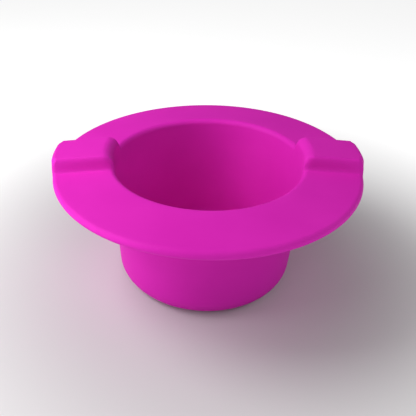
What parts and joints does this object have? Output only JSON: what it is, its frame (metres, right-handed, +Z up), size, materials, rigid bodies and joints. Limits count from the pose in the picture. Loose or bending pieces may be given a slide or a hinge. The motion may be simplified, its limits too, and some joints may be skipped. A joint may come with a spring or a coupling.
{
  "type": "silicone bowl liner",
  "caption": "Soft round-bottomed cup liner with a wide sloping brim and a raised hollow grip arch on each side.",
  "frame": {"origin": "centre of the flat underside of the cup, on the surface that it stands on", "axes": "+Z up through the opening; +X towards the right grip arch; +Y towards the back of the brim"},
  "size_m": [0.1798, 0.1798, 0.0854],
  "materials": {
    "silicone": "matte moulded silicone"
  },
  "bodies": {
    "liner_body": {"cup_floor": "silicone", "cup_wall": "silicone", "rim_collar": "silicone", "brim_front": "silicone", "brim_back": "silicone", "right_arch_end": "silicone", "left_arch_end": "silicone"},
    "right_wing": {"right_wing_back": "silicone", "right_wing_front": "silicone", "right_grip_arch": "silicone"},
    "left_wing": {"left_wing_front": "silicone", "left_wing_back": "silicone", "left_grip_arch": "silicone"}
  },
  "joints": [
    {"name": "right_wing_flex", "type": "hinge", "parent": "liner_body", "child": "right_wing", "pos_m": [0.062, 0, 0.0856], "axis": [0, -1, 0], "range_deg": [0, 30], "stiffness_Nm_per_rad": 0.12},
    {"name": "left_wing_flex", "type": "hinge", "parent": "liner_body", "child": "left_wing", "pos_m": [-0.062, 0, 0.0856], "axis": [0, 1, 0], "range_deg": [0, 30], "stiffness_Nm_per_rad": 0.12}
  ]
}
